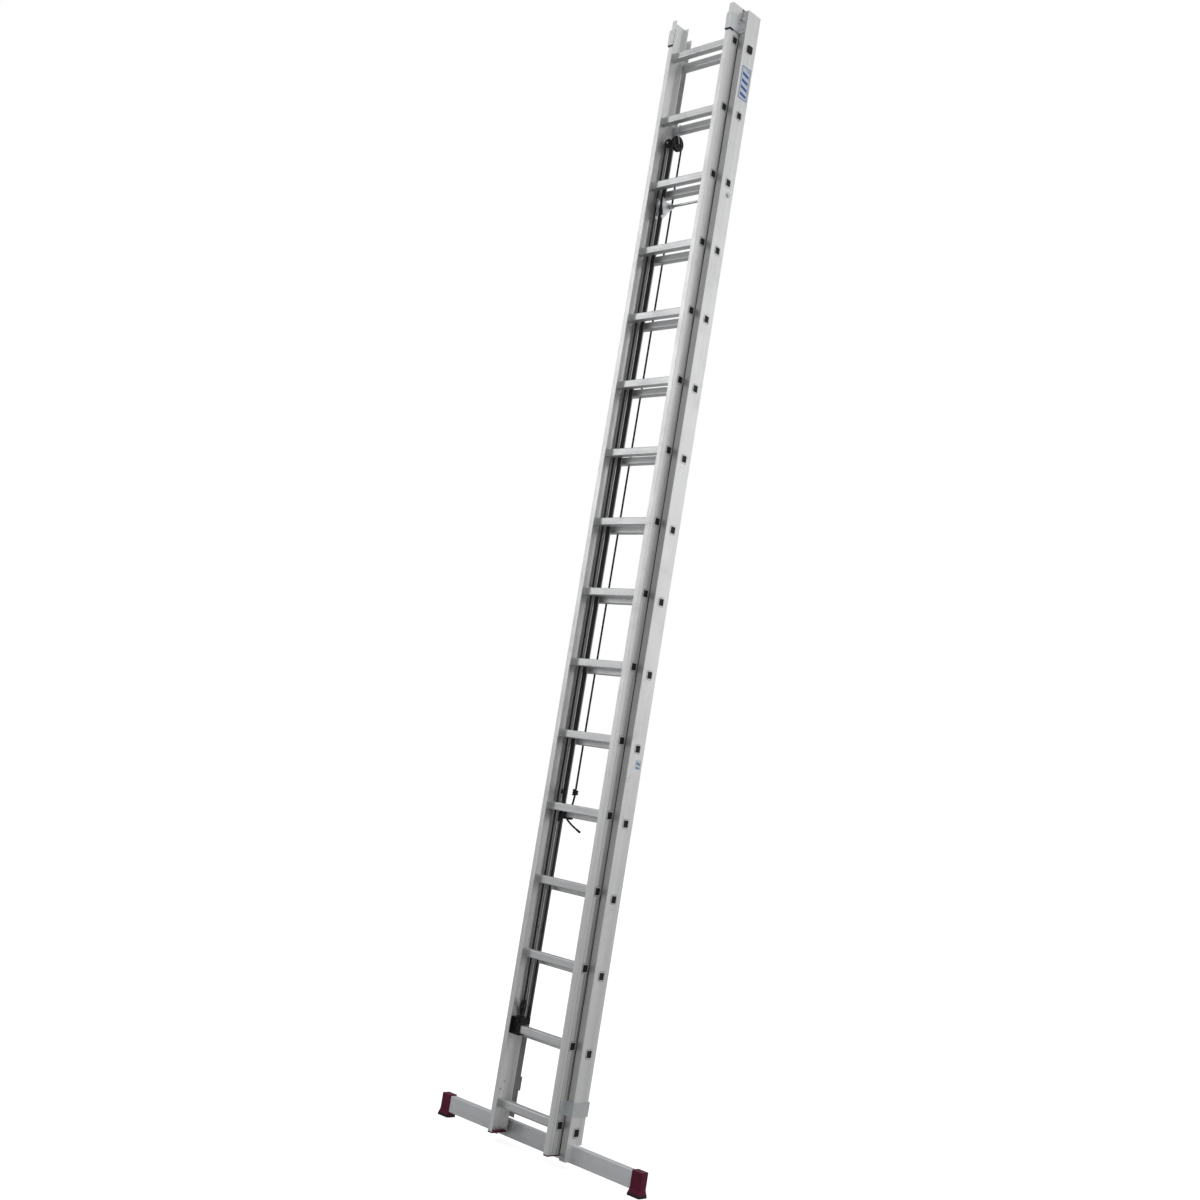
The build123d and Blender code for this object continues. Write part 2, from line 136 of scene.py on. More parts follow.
def combine(tree, first, second, operation="ADD"):
    node = addNode(tree, "ShaderNodeMath", operation=operation)
    for socket, value in zip(node.inputs, (first, second)):
        if isinstance(value, float):
            socket.default_value = value
        else:
            tree.links.new(value, socket)
    return node.outputs["Value"]


def ramp(tree, value, stops, interpolation="LINEAR"):
    node = addNode(tree, "ShaderNodeValToRGB")
    node.color_ramp.interpolation = interpolation
    elements = node.color_ramp.elements
    while len(elements) < len(stops):
        elements.new(0.5)
    for element, (position, colour) in zip(elements, stops):
        element.position = position
        element.color = (*colour, 1.0)
    tree.links.new(value, node.inputs["Fac"])
    return node.outputs["Color"]


def blendColours(tree, share, first, second, mode="MIX"):
    node = addNode(tree, "ShaderNodeMix", data_type="RGBA", blend_type=mode)
    sockets = [s for s in node.inputs if s.enabled]
    for socket, value in zip(sockets, (share, first, second)):
        if isinstance(value, (float, tuple)):
            socket.default_value = value if isinstance(value, float) else (*value, 1.0)
        else:
            tree.links.new(value, socket)
    return [s for s in node.outputs if s.enabled][0]


def addBump(tree, shader, height, distance, strength=1.0):
    node = addNode(tree, "ShaderNodeBump")
    node.inputs["Strength"].default_value = strength
    node.inputs["Distance"].default_value = distance
    tree.links.new(height, node.inputs["Height"])
    tree.links.new(node.outputs["Normal"], shader.inputs["Normal"])


# metals

extrusion = {
    "pale": (0.84, 0.84, 0.835),
    "dull": (0.72, 0.72, 0.715),
    "handling": (0.60, 0.60, 0.59),
    "roughLow": 0.28,
    "roughHigh": 0.48,
    "lineDepth": 0.00003,
    "metal": 0.80,
    # painted shade: dark seam colour laid on whatever lies in the gap between the fly and base
    # stiles
    "seamShade": (0.16, 0.155, 0.145),
    "gapInner": 0.1600,
    "gapOuter": 0.1928,
    "gapFront": -0.0080,
    "gapRear": 0.0095,
    # painted shade: dark streak colour, heavier towards the foot, standing in for rib shading and
    # dark reflections
    "streakShade": (0.30, 0.30, 0.30),
    "streakShadeFoot": 0.85,
    "streakShadeTop": 0.12,
}


def paintedGapAndStreakShade(tree, colour, look):
    # painted shade: whatever lies in the gap inside the base channel is darkened to a dark seam,
    # and the webs there get dark streaks along their length, heavier towards the foot, as painted
    # shade standing in for ribs and dark reflections
    coords = addNode(tree, "ShaderNodeTexCoord")
    axes = addNode(tree, "ShaderNodeSeparateXYZ")
    tree.links.new(coords.outputs["Object"], axes.inputs["Vector"])
    beside = combine(tree, axes.outputs["X"], 0.0, "ABSOLUTE")
    outside = combine(tree, beside, look["gapInner"], "GREATER_THAN")
    inside = combine(tree, beside, look["gapOuter"], "LESS_THAN")
    within = combine(tree, outside, inside, "MULTIPLY")
    behind = rescale(tree, axes.outputs["Y"], 0.0, 0.9, look["gapFront"] - 0.0012, look["gapFront"])
    before = rescale(tree, axes.outputs["Y"], 1.0, 0.0, look["gapRear"] - 0.0012, look["gapRear"])
    # painted shade: mask of the gap between the fly web and the base channel, darkened to a seam
    seamShadeShare = combine(tree, combine(tree, within, behind, "MULTIPLY"), before, "MULTIPLY")
    # painted shade: streaks along the webs in the gap, darker towards the foot
    runs = noise(tree, objectPlace(tree, (0.02, 150.0, 0.35)), 1.0, 2.0, 0.5)
    height = rescale(tree, axes.outputs["Z"], look["streakShadeFoot"], look["streakShadeTop"], 0.2, 3.2)
    streakShadeShare = combine(tree, rescale(tree, runs, 0.0, 1.0, 0.47, 0.60), height, "MULTIPLY")
    shade = blendColours(tree, combine(tree, streakShadeShare, within, "MULTIPLY"), colour, look["streakShade"])
    return blendColours(tree, seamShadeShare, shade, look["seamShade"])


def extrudedAluminium(name, along, look):
    # die lines run along the extrusion, with smudges and fine scratches over them
    material, tree, shader = newMaterial(name)
    fine = [420.0, 420.0, 420.0]
    broad = [60.0, 60.0, 60.0]
    fine[along] = 1.6
    broad[along] = 0.7
    lines = noise(tree, objectPlace(tree, fine), 1.0, 5.0, 0.65)
    bands = noise(tree, objectPlace(tree, broad), 1.0, 2.0, 0.5)
    smudges = noise(tree, objectPlace(tree, (1.0, 1.0, 1.0)), 9.0, 5.0, 0.6)
    handled = noise(tree, objectPlace(tree, (1.0, 1.0, 1.0)), 38.0, 6.0, 0.7)
    tone = combine(tree, rescale(tree, lines, 0.0, 0.5), rescale(tree, bands, 0.0, 0.5))
    base = ramp(tree, tone, [(0.15, look["dull"]), (0.85, look["pale"])])
    marks = rescale(tree, combine(tree, smudges, handled, "MULTIPLY"), 0.0, 0.42, 0.26, 0.42)
    colour = blendColours(tree, marks, base, look["handling"])
    # painted shade: dark seam in the stile gap and dark streaks on the webs there
    if "seamShade" in look:
        colour = paintedGapAndStreakShade(tree, colour, look)
    tree.links.new(colour, shader.inputs["Base Color"])
    dulling = combine(tree, rescale(tree, lines, 0.0, 0.10), rescale(tree, smudges, 0.0, 0.10))
    rough = combine(tree, rescale(tree, bands, look["roughLow"], look["roughHigh"] - 0.1), dulling)
    tree.links.new(rough, shader.inputs["Roughness"])
    shader.inputs["Metallic"].default_value = look["metal"]
    scratchPlace = objectPlace(tree, (160.0, 160.0, 11.0) if along == 2 else (11.0, 160.0, 160.0))
    scratches = addNode(tree, "ShaderNodeTexVoronoi", feature="DISTANCE_TO_EDGE")
    scratches.inputs["Scale"].default_value = 0.35
    tree.links.new(scratchPlace, scratches.inputs["Vector"])
    cuts = rescale(tree, scratches.outputs["Distance"], 0.0, 0.25, 0.0, 0.012)
    addBump(tree, shader, combine(tree, lines, cuts), look["lineDepth"])
    return material


rungLook = {
    "pale": (0.74, 0.745, 0.75),
    "dull": (0.62, 0.625, 0.63),
    "handling": (0.50, 0.50, 0.495),
    "roughLow": 0.28,
    "roughHigh": 0.46,
    "lineDepth": 0.00004,
    "metal": 0.85,
}

barLook = {
    "pale": (0.74, 0.755, 0.775),
    "dull": (0.69, 0.705, 0.725),
    "handling": (0.62, 0.63, 0.64),
    "roughLow": 0.36,
    "roughHigh": 0.50,
    "lineDepth": 0.00002,
    "metal": 0.85,
}

galvanised = {
    "pale": (0.68, 0.695, 0.705),
    "mid": (0.65, 0.665, 0.675),
    "dark": (0.61, 0.625, 0.635),
    "bloom": (0.71, 0.72, 0.725),
    "grain": 150.0,
}


def galvanisedSheet():
    material, tree, shader = newMaterial("galvanisedSheet")
    place = objectPlace(tree, (1.0, 1.0, 1.0))
    grains = addNode(tree, "ShaderNodeTexVoronoi")
    grains.inputs["Scale"].default_value = galvanised["grain"]
    tree.links.new(place, grains.inputs["Vector"])
    split = addNode(tree, "ShaderNodeSeparateColor")
    tree.links.new(grains.outputs["Color"], split.inputs["Color"])
    stops = [(0.0, galvanised["dark"]), (0.5, galvanised["mid"]), (1.0, galvanised["pale"])]
    base = ramp(tree, split.outputs["Red"], stops)
    cloud = noise(tree, place, 22.0, 4.0, 0.6)
    bloom = blendColours(tree, rescale(tree, cloud, 0.0, 0.45), base, galvanised["bloom"])
    tree.links.new(bloom, shader.inputs["Base Color"])
    shader.inputs["Metallic"].default_value = 1.0
    rough = combine(tree, rescale(tree, split.outputs["Green"], 0.26, 0.42, 0.0, 1.0),
                    rescale(tree, cloud, 0.0, 0.12))
    tree.links.new(rough, shader.inputs["Roughness"])
    pits = noise(tree, place, 900.0, 3.0, 0.6)
    addBump(tree, shader, combine(tree, pits, split.outputs["Blue"]), 0.00001)
    return material


zincTones = {
    "fastener": ((0.62, 0.64, 0.66), (0.46, 0.48, 0.50)),
    "wire": ((0.72, 0.73, 0.75), (0.52, 0.53, 0.55)),
    "drawLines": 700.0,
    "spots": 780.0,
    "dulled": (0.40, 0.39, 0.36),
}


def zincPlated(name, tones, drawn):
    material, tree, shader = newMaterial(name)
    place = objectPlace(tree, (1.0, 1.0, 1.0))
    patches = noise(tree, place, 140.0, 4.0, 0.6)
    spots = noise(tree, place, zincTones["spots"], 2.0, 0.5)
    stretch = (1.0, 1.0, 0.05) if drawn else (1.0, 1.0, 1.0)
    lines = noise(tree, objectPlace(tree, stretch), zincTones["drawLines"], 3.0, 0.6)
    base = ramp(tree, patches, [(0.3, tones[1]), (0.7, tones[0])])
    share = rescale(tree, spots, 0.0, 0.35, 0.55, 0.75)
    dulled = blendColours(tree, share, base, zincTones["dulled"])
    tree.links.new(dulled, shader.inputs["Base Color"])
    shader.inputs["Metallic"].default_value = 1.0
    tree.links.new(rescale(tree, patches, 0.22, 0.40), shader.inputs["Roughness"])
    addBump(tree, shader, lines, 0.00003)
    return material


# plastics and rope fibre

wine = {
    "body": (0.120, 0.0045, 0.030),
    "deep": (0.078, 0.0030, 0.020),
    "scuff": (0.150, 0.020, 0.050),
    "sole": (0.020, 0.010, 0.013),
    "soleTop": 0.011,
}


def winePlastic():
    material, tree, shader = newMaterial("winePlastic")
    place = objectPlace(tree, (1.0, 1.0, 1.0))
    cloud = noise(tree, place, 30.0, 4.0, 0.55)
    grain = noise(tree, place, 1500.0, 2.0, 0.6)
    scuffs = noise(tree, objectPlace(tree, (20.0, 20.0, 160.0)), 1.0, 6.0, 0.75)
    body = ramp(tree, cloud, [(0.3, wine["deep"]), (0.7, wine["body"])])
    worn = blendColours(tree, rescale(tree, scuffs, 0.0, 0.5, 0.60, 0.78), body, wine["scuff"])
    coords = addNode(tree, "ShaderNodeTexCoord")
    axes = addNode(tree, "ShaderNodeSeparateXYZ")
    tree.links.new(coords.outputs["Object"], axes.inputs["Vector"])
    below = rescale(tree, axes.outputs["Z"], 1.0, 0.0, wine["soleTop"] - 0.001, wine["soleTop"])
    colour = blendColours(tree, below, worn, wine["sole"])
    tree.links.new(colour, shader.inputs["Base Color"])
    tree.links.new(rescale(tree, scuffs, 0.40, 0.62), shader.inputs["Roughness"])
    shader.inputs["Specular IOR Level"].default_value = 0.22
    addBump(tree, shader, combine(tree, grain, scuffs), 0.00008)
    return material


darkPlastics = {
    "black": ((0.004, 0.004, 0.0045), (0.011, 0.011, 0.012), 0.46),
    "sheave": ((0.004, 0.004, 0.0045), (0.010, 0.010, 0.011), 0.40),
    "grain": 1300.0,
    "dust": (0.06, 0.06, 0.057),
}


def darkPlastic(name, tones, turned):
    # turned pieces carry a coarser grain, moulded ones a finer even grain
    material, tree, shader = newMaterial(name)
    place = objectPlace(tree, (1.0, 1.0, 1.0))
    low, high, shine = tones
    cloud = noise(tree, place, 60.0, 5.0, 0.6)
    grain = noise(tree, place, darkPlastics["grain"] * (0.5 if turned else 1.0), 3.0, 0.6)
    dust = noise(tree, place, 240.0, 6.0, 0.75)
    base = ramp(tree, cloud, [(0.3, low), (0.7, high)])
    share = rescale(tree, dust, 0.0, 0.25, 0.60, 0.8)
    dusty = blendColours(tree, share, base, darkPlastics["dust"])
    tree.links.new(dusty, shader.inputs["Base Color"])
    tree.links.new(rescale(tree, cloud, shine - 0.08, shine + 0.14), shader.inputs["Roughness"])
    shader.inputs["Specular IOR Level"].default_value = 0.28
    addBump(tree, shader, grain, 0.00006)
    return material


ropeLook = {
    "dark": (0.006, 0.006, 0.007),
    "light": (0.018, 0.018, 0.019),
    "fuzz": (0.040, 0.040, 0.038),
    "filament": 26.0,
}


def ropeFibre():
    # the UV map runs around the rope in U and along it in V, both in braid repeats
    material, tree, shader = newMaterial("ropeFibre")
    leftLay = uvPlace(tree, (ropeLook["filament"], ropeLook["filament"] * 0.55, 1.0))
    strands = noise(tree, leftLay, 1.0, 4.0, 0.6)
    shade = noise(tree, uvPlace(tree, (3.0, 0.9, 1.0)), 1.0, 3.0, 0.5)
    fuzz = noise(tree, objectPlace(tree, (1.0, 1.0, 1.0)), 1900.0, 3.0, 0.7)
    base = ramp(tree, combine(tree, strands, shade, "MULTIPLY"),
                [(0.12, ropeLook["dark"]), (0.42, ropeLook["light"])])
    colour = blendColours(tree, rescale(tree, fuzz, 0.0, 0.6, 0.55, 0.8), base, ropeLook["fuzz"])
    tree.links.new(colour, shader.inputs["Base Color"])
    tree.links.new(rescale(tree, strands, 0.70, 0.92), shader.inputs["Roughness"])
    shader.inputs["Sheen Weight"].default_value = 0.12
    shader.inputs["Sheen Roughness"].default_value = 0.5
    addBump(tree, shader, combine(tree, strands, fuzz), 0.00035)
    return material


finishes = {
    "stile_aluminium": extrudedAluminium("stileAluminium", 2, extrusion),
    "rung_aluminium": extrudedAluminium("rungAluminium", 0, rungLook),
    "bar_aluminium": extrudedAluminium("barAluminium", 0, barLook),
    "galvanised_sheet": galvanisedSheet(),
    "zinc_fasteners": zincPlated("zincFasteners", zincTones["fastener"], False),
    "zinc_wire": zincPlated("zincWire", zincTones["wire"], True),
    "wine_plastic": winePlastic(),
    "black_plastic": darkPlastic("blackPlastic", darkPlastics["black"], False),
    "sheave_plastic": darkPlastic("sheavePlastic", darkPlastics["sheave"], True),
    "rope_fibre": ropeFibre(),
}


def finishNodes():
    for part in frame["record"]["subparts"]:
        mesh = nodes[part["node"]].data
        mesh.materials.clear()
        mesh.materials.append(finishes[part["material_slot"]])


finishNodes()
print("finishes made:", len(finishes))


def makePiece(work, name, material):
    mesh = bpy.data.meshes.new(name)
    work.to_mesh(mesh)
    work.free()
    mesh.materials.append(material)
    piece = bpy.data.objects.new(name, mesh)
    bpy.context.scene.collection.objects.link(piece)
    return piece


# ropes

rope = {
    "diameter": 0.008,
    "sides": 20,
    "ring": 0.0022,
    "lobes": 4,
    "repeat": 0.034,
    "relief": 0.11,
    "fixedLeftLength": 2.9556,
    "fixedRightLength": 3.112,
    "slideRange": 3.08,
}


def pointsAlong(name, route):
    # evenly spaced points read from the smooth line that the route controls
    curve = bpy.data.curves.new(name + "Route", "CURVE")
    curve.dimensions = "3D"
    spline = curve.splines.new("NURBS")
    spline.points.add(len(route) - 1)
    for point, place in zip(spline.points, route):
        point.co = (*place, 1.0)
    spline.order_u = 3
    spline.use_endpoint_u = True
    spline.resolution_u = 24
    holder = bpy.data.objects.new(name + "Route", curve)
    line = bpy.data.meshes.new_from_object(holder)
    places = [v.co.copy() for v in line.vertices]
    bpy.data.objects.remove(holder)
    bpy.data.curves.remove(curve)
    bpy.data.meshes.remove(line)
    return evenPoints(places, rope["ring"])


def evenPoints(places, step):
    total = sum((b - a).length for a, b in zip(places, places[1:]))
    count = max(2, round(total / step))
    gap = total / count
    spaced = [places[0]]
    walked = 0.0
    for a, b in zip(places, places[1:]):
        stretch = (b - a).length
        while stretch > 0 and len(spaced) * gap <= walked + stretch + 1e-9 and len(spaced) < count:
            spaced.append(a.lerp(b, (len(spaced) * gap - walked) / stretch))
        walked += stretch
    spaced.append(places[-1])
    return spaced


def braidRadius(around, along):
    lobes = rope["lobes"]
    turn = 2 * math.pi * along / rope["repeat"]
    over = math.sin(lobes * (around + turn / lobes * 2))
    under = math.sin(lobes * (around - turn / lobes * 2))
    raised = max(over, under) * 0.5 - 0.6
    return rope["diameter"] / 2 * (1.0 + rope["relief"] * raised)


def braidedTube(name, places):
    # one ring of edges is pushed along the line, each ring shaped by the braid
    work = bmesh.new()
    uvLayer = work.loops.layers.uv.new("braid")
    sides = rope["sides"]
    first = bmesh.ops.create_circle(work, segments=sides, radius=rope["diameter"] / 2)["verts"]
    across = None
    along = 0.0
    ring = list(first)
    spots = {}
    for index, place in enumerate(places):
        ahead = places[min(index + 1, len(places) - 1)] - places[max(index - 1, 0)]
        ahead.normalize()
        if across is None:
            across = ahead.orthogonal().normalized()
        across = (across - ahead * across.dot(ahead)).normalized()
        beside = ahead.cross(across)
        if index:
            along += (place - places[index - 1]).length
            edges = [edgeBetween(ring[i], ring[(i + 1) % sides]) for i in range(sides)]
            grown = bmesh.ops.extrude_edge_only(work, edges=edges)["geom"]
            ring = matchRing(ring, grown)
        for step, vertex in enumerate(ring):
            around = 2 * math.pi * step / sides
            reach = braidRadius(around, along)
            spots[vertex] = (step, along / rope["repeat"])
            outward = across * math.cos(around) + beside * math.sin(around)
            vertex.co = place + outward * reach
    capEnds(work)
    bmesh.ops.recalc_face_normals(work, faces=work.faces)
    paintBraidUvs(work, uvLayer, spots)
    for face in work.faces:
        face.smooth = len(face.verts) == 4
    return makePiece(work, name, finishes["rope_fibre"])


def edgeBetween(first, second):
    return next(e for e in first.link_edges if e.other_vert(first) is second)


def matchRing(ring, grown):
    fresh = {v for v in grown if isinstance(v, bmesh.types.BMVert)}
    return [next(e.other_vert(v) for e in v.link_edges if e.other_vert(v) in fresh) for v in ring]


def capEnds(work):
    loose = [e for e in work.edges if len(e.link_faces) == 1]
    bmesh.ops.holes_fill(work, edges=loose, sides=0)


def paintBraidUvs(work, uvLayer, spots):
    sides = rope["sides"]
    for face in work.faces:
        steps = [spots[loop.vert][0] for loop in face.loops]
        wraps = max(steps) - min(steps) > sides / 2
        for loop, step in zip(face.loops, steps):
            around = step + sides if wraps and step < sides / 2 else step
            loop[uvLayer].uv = (around / sides, spots[loop.vert][1])


fixedLeftRoute = [
    (-0.1485, -0.0002, 3.9853),
    (-0.1485, -0.0002, 3.9996),
    (-0.1225, -0.0002, 3.9996),
    (-0.1225, -0.0002, 3.9500),
    (-0.1225, -0.0002, 1.3425),
    (-0.1225, -0.0002, 1.3069),
    (-0.1225, 0.0102, 1.2790),
    (-0.1225, 0.0102, 1.2330),
    (-0.1232, 0.0158, 1.2274),
    (-0.1255, 0.0418, 1.2274),
    (-0.1265, 0.0476, 1.2330),
    (-0.1290, 0.0476, 1.2615),
    (-0.1300, 0.0420, 1.2672),
    (-0.1321, 0.0158, 1.2672),
    (-0.1331, 0.0100, 1.2615),
    (-0.13354, 0.0102, 1.2117),
]

fixedRightRoute = [
    (-0.1120, -0.0002, 3.9903),
    (-0.1120, -0.0002, 4.0177),
    (-0.1120, 0.0538, 4.0177),
    (-0.1120, 0.0538, 3.9420),
    (-0.1120, 0.0538, 1.3480),
    (-0.1120, 0.0538, 1.3119),
    (-0.1120, 0.0476, 1.2790),
    (-0.1120, 0.0476, 1.2330),
    (-0.1112, 0.0418, 1.2274),
    (-0.1090, 0.0158, 1.2274),
    (-0.1083, 0.0100, 1.2330),
    (-0.1046, 0.0100, 1.2615),
    (-0.1035, 0.0158, 1.2672),
    (-0.1015, 0.0418, 1.2672),
    (-0.1005, 0.0476, 1.2615),
    (-0.0985, 0.0476, 1.2330),
    (-0.0975, 0.0418, 1.2274),
    (-0.0950, 0.0158, 1.2274),
    (-0.0910, 0.0102, 1.2235),
    (-0.0500, 0.0075, 1.2010),
    (-0.0105, 0.0060, 1.1862),
]


def strand(name, node, places):
    piece = braidedTube(name, places)
    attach(piece, "base")
    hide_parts(node)
    return piece


def straightPoints(node):
    low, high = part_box(node)
    middle = (Vector(low) + Vector(high)) / 2
    top = Vector((middle.x, middle.y, high[2]))
    foot = Vector((middle.x, middle.y, low[2]))
    return evenPoints([top, foot], rope["ring"])


def addRopes():
    leftLine = pointsAlong("fixedLeft", fixedLeftRoute)
    rightLine = pointsAlong("fixedRight", fixedRightRoute)
    strand("ropeFixedLeft", "rope_fixed_left", leftLine)
    strand("ropeFixedRight", "rope_fixed_right", rightLine)
    for name, node in (("ropeRunLeft", "rope_run_left"), ("ropeRunMiddle", "rope_run_middle")):
        line = straightPoints(node)
        run = strand(name, node, line)
        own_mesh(run)


addRopes()
print("ropes laid")


# knots and end sleeves on the ropes

knot = {
    "coilRadius": 0.0083,
    "coilTurns": 2.3,
    "coilRise": 0.0086,
    "stepsPerTurn": 40,
    "ferruleRadius": 0.0056,
    "ferruleLength": 0.043,
    "sleeveRadius": 0.0047,
    "sleeveLength": 0.018,
    "sleeveSides": 28,
    "neck": 0.80,
    "profile": [(0.0, 0.97), (0.05, 1.0), (0.12, 1.0), (0.5, 0.985), (0.88, 1.0), (0.95, 1.0),
                (1.0, 0.97), (1.0, 0.80)],
}


def coilPoints(middle, start):
    radius = knot["coilRadius"]
    steps = int(knot["coilTurns"] * knot["stepsPerTurn"])
    places = []
    for step in range(steps + 1):
        turned = knot["coilTurns"] * step / steps
        angle = start + 2 * math.pi * turned
        drop = knot["coilRise"] * turned
        offset = Vector((math.cos(angle) * radius, math.sin(angle) * radius, -drop))
        places.append(Vector(middle) + offset)
    return evenPoints(places, rope["ring"])


def addHitch(name, middle, start):
    # the tail's half hitches around its own standing part
    piece = braidedTube(name, coilPoints(middle, start))
    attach(piece, "base")


def addSleeve(name, foot, direction, radius, length, body):
    # a heat-shrunk sleeve: a short tube that necks in at both ends, with a rolled rim
    work = bmesh.new()
    bmesh.ops.create_circle(work, segments=knot["sleeveSides"], radius=radius * knot["neck"])
    edges = list(work.edges)
    for along, share in knot["profile"]:
        grown = bmesh.ops.extrude_edge_only(work, edges=edges)["geom"]
        verts = [g for g in grown if isinstance(g, bmesh.types.BMVert)]
        edges = [g for g in grown if isinstance(g, bmesh.types.BMEdge)]
        for vertex in verts:
            flat = Vector((vertex.co.x, vertex.co.y, 0)).normalized() * radius * share
            vertex.co = Vector((flat.x, flat.y, along * length))
    capEnds(work)
    bmesh.ops.recalc_face_normals(work, faces=work.faces)
    turn = Vector((0, 0, 1)).rotation_difference(Vector(direction).normalized())
    place = Matrix.Translation(foot) @ turn.to_matrix().to_4x4()
    bmesh.ops.transform(work, matrix=place, verts=work.verts)
    for face in work.faces:
        face.smooth = len(face.verts) == 4
    piece = makePiece(work, name, finishes["black_plastic"])
    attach(piece, body)


clampLoopRoute = [
    (-0.1485, -0.0030, 0.4700),
    (-0.1500, -0.0120, 0.4950),
    (-0.1400, -0.0190, 0.5280),
    (-0.1235, -0.0170, 0.5350),
    (-0.1190, -0.0150, 0.5050),
    (-0.1280, -0.0170, 0.4850),
    (-0.1300, -0.0190, 0.4690),
]


def addClampLoop():
    # the rope's spare bight stands up out of the clamp
    piece = braidedTube("clampLoop", pointsAlong("clampLoop", clampLoopRoute))
    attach(piece, "fly")


def addKnots():
    addClampLoop()
    addHitch("hitchLeft", (-0.1225, -0.0002, 1.3350), 0.4)
    addHitch("hitchRight", (-0.1120, 0.0538, 1.3400), 2.2)
    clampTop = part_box("rope_clamp")[1][2]
    runLow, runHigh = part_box("rope_run_middle")
    foot = Vector(((runLow[0] + runHigh[0]) / 2, (runLow[1] + runHigh[1]) / 2, clampTop + 0.001))
    addSleeve("clampFerrule", foot, (0, 0, 1), knot["ferruleRadius"], knot["ferruleLength"], "fly")
    tailEnd = Vector(fixedRightRoute[-1])
    tailAim = tailEnd - Vector(fixedRightRoute[-2])
    start = tailEnd - tailAim.normalized() * (knot["sleeveLength"] - 0.002)
    addSleeve("tailSleeve", start, tailAim, knot["sleeveRadius"], knot["sleeveLength"], "base")


addKnots()
print("knots and sleeves made")


# dark inserts set into the open rung ends, thin dark plates painting shade round them, and the
# labels

rungInsert = {
    "depth": 0.0240,
    "height": 0.0260,
    "corner": 0.0065,
    "thick": 0.003,
    "setIn": 0.0035,
    # painted shade: size of the thin dark plate on the web face at each rung end
    "shadeRingOut": 0.0010,
    "shadeRingCorner": 0.0080,
    "shadeRingThick": 0.0002,
}


def roundedPlate(work, wide, tall, corner, thick):
    before = set(work.faces)
    flat = bmesh.ops.create_grid(work, x_segments=1, y_segments=1, size=0.5)["verts"]
    bmesh.ops.scale(work, vec=(wide, tall, 1), verts=flat)
    bmesh.ops.bevel(work, geom=flat, offset=corner, segments=3, profile=0.5,
                    affect="VERTICES", material=-1)
    fresh = [f for f in work.faces if f not in before]
    pushed = bmesh.ops.extrude_face_region(work, geom=fresh)["geom"]
    lifted = [g for g in pushed if isinstance(g, bmesh.types.BMVert)]
    bmesh.ops.translate(work, vec=(0, 0, thick), verts=lifted)
    return list({v for f in work.faces if f not in before for v in f.verts})


def facingSide(side, place):
    # turns a plate that faces up so that it faces out to one side
    return Matrix(((0, 0, side, place[0]), (1, 0, 0, place[1]), (0, 1, 0, place[2]), (0, 0, 0, 1)))


def finishPiece(work, name, material, body):
    bmesh.ops.recalc_face_normals(work, faces=work.faces)
    piece = makePiece(work, name, material)
    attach(piece, body)


def addRungInserts(name, section, lastRung, body):
    # each open end gets its dark insert, and a thin dark plate on the web face over the end is
    # painted shade round the insert inside the metal collar
    work = bmesh.new()
    # faces collects the thin dark plates that paint shade round each rung end
    faces = bmesh.new()
    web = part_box(section + "_stile_right")[1][0]
    for number in range(1, lastRung + 1):
        low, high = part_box("%s_rung_%02d" % (section, number))
        for side in (-1, 1):
            verts = roundedPlate(work, rungInsert["depth"], rungInsert["height"],
                                 rungInsert["corner"], rungInsert["thick"])
            reach = high[0] - rungInsert["setIn"] - rungInsert["thick"]
            place = (side * reach, (low[1] + high[1]) / 2, (low[2] + high[2]) / 2)
            bmesh.ops.transform(work, matrix=facingSide(side, place), verts=verts)
            # painted shade: a thin dark plate on the web's outer face, a little wider than the rung
            shadeRing = roundedPlate(faces, high[1] - low[1] + 2 * rungInsert["shadeRingOut"],
                                 high[2] - low[2] + 2 * rungInsert["shadeRingOut"],
                                 rungInsert["shadeRingCorner"], rungInsert["shadeRingThick"])
            spot = (side * web, place[1], place[2])
            bmesh.ops.transform(faces, matrix=facingSide(side, spot), verts=shadeRing)
    finishPiece(work, name, finishes["black_plastic"], body)
    # the thin dark plates are painted shade round the rung ends
    finishPiece(faces, name + "ShadeRing", finishes["black_plastic"], body)


addRungInserts("flyRungInserts", "fly", 16, "fly")
addRungInserts("baseRungInserts", "base", 15, "base")
print("rung inserts made")


labels = {
    "topLabel": {"low": (0.002, 4.116), "high": (0.060, 4.254), "bars": 5.0,
                 "ink": (0.015, 0.11, 0.42)},
    "careLabel": {"low": (0.030, 1.452), "high": (0.058, 1.486), "bars": 2.0,
                  "ink": (0.08, 0.20, 0.42)},
    "thick": 0.0002,
    "borderOutside": (0.93, 0.97),
    "borderInside": (0.84, 0.925),
    "barField": (0.66, 0.82),
    "barSlant": 1.3,
    "barGap": 0.15,
    "film": (0.66, 0.70, 0.74),
    "aged": (0.58, 0.61, 0.63),
}


def insideFrame(tree, across, up, frameShare):
    narrow = combine(tree, across, frameShare[0], "LESS_THAN")
    return combine(tree, narrow, combine(tree, up, frameShare[1], "LESS_THAN"), "MULTIPLY")


